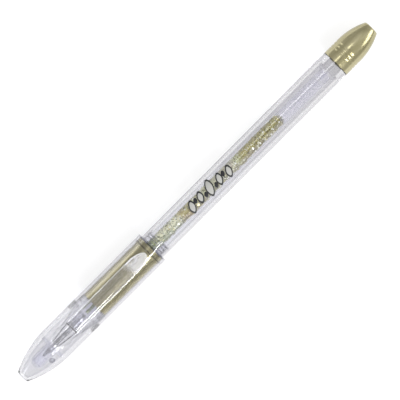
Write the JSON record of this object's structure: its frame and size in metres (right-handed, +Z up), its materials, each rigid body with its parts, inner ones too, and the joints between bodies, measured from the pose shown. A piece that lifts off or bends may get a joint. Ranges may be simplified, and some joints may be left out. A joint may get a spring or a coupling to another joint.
{
  "type": "gel pen",
  "caption": "Capped gel pen with a clear cap and clip, a clear barrel that shows the refill, a metallic gold grip sleeve and a metallic gold rear plug.",
  "frame": {"origin": "under the middle of the capped pen, on the surface that it lies on", "axes": "+X along the pen from the closed end of the cap to the rear plug, +Z up through the clip, +Y across"},
  "size_m": [0.148, 0.0109, 0.0135],
  "materials": {
    "clear_plastic": "polished clear polystyrene",
    "frosted_plastic": "translucent polypropylene",
    "gold_plastic": "metallic gold moulded plastic, satin",
    "glitter_ink": "gold glitter gel",
    "follower_grease": "cloudy gel with small bubbles",
    "seal_rubber": "soft translucent elastomer",
    "nickel_silver": "turned nickel silver",
    "hard_metal": "polished"
  },
  "bodies": {
    "barrel_body": {"barrel": "clear_plastic", "rear_plug": "gold_plastic"},
    "refill": {"refill_tube": "frosted_plastic", "tail_plug": "frosted_plastic", "ink_column": "glitter_ink", "follower": "follower_grease", "tip_holder": "frosted_plastic", "tip_body": "nickel_silver"},
    "ball": {"writing_ball": "hard_metal"},
    "valve": {"valve_ball": "hard_metal"},
    "front": {"nose_cone": "clear_plastic", "grip_liner": "clear_plastic", "grip_sleeve": "gold_plastic"},
    "cap": {"cap_shell": "clear_plastic", "inner_cap": "clear_plastic", "tip_seal": "seal_rubber"},
    "clip_arm": {"clip": "clear_plastic"}
  },
  "joints": [
    {"name": "refill_slide", "type": "slide", "parent": "barrel_body", "child": "refill", "axis": [-1, 0, 0], "range_m": [0, 0.003]},
    {"name": "front_screw", "type": "hinge", "parent": "refill", "child": "front", "pos_m": [-0.0193, 0, 0.00545], "axis": [-1, 0, 0], "range_deg": [0, 1080]},
    {"name": "cap_pull", "type": "slide", "parent": "front", "child": "cap", "axis": [-1, 0, 0], "range_m": [0, 0.06]},
    {"name": "clip_flex", "type": "hinge", "parent": "cap", "child": "clip_arm", "pos_m": [-0.0522, 0, 0.01285], "axis": [0, -1, 0], "range_deg": [0, 5], "stiffness_Nm_per_rad": 1.5},
    {"name": "ball_roll", "type": "hinge", "parent": "refill", "child": "ball", "pos_m": [-0.0644, 0, 0.00545], "axis": [0, 1, 0], "continuous": true},
    {"name": "valve_travel", "type": "slide", "parent": "refill", "child": "valve", "axis": [1, 0, 0], "range_m": [0, 0.0005]}
  ],
  "couplings": [
    {"joint": "refill_slide", "follows": "front_screw", "m_per_rad": 0.00015915}
  ]
}
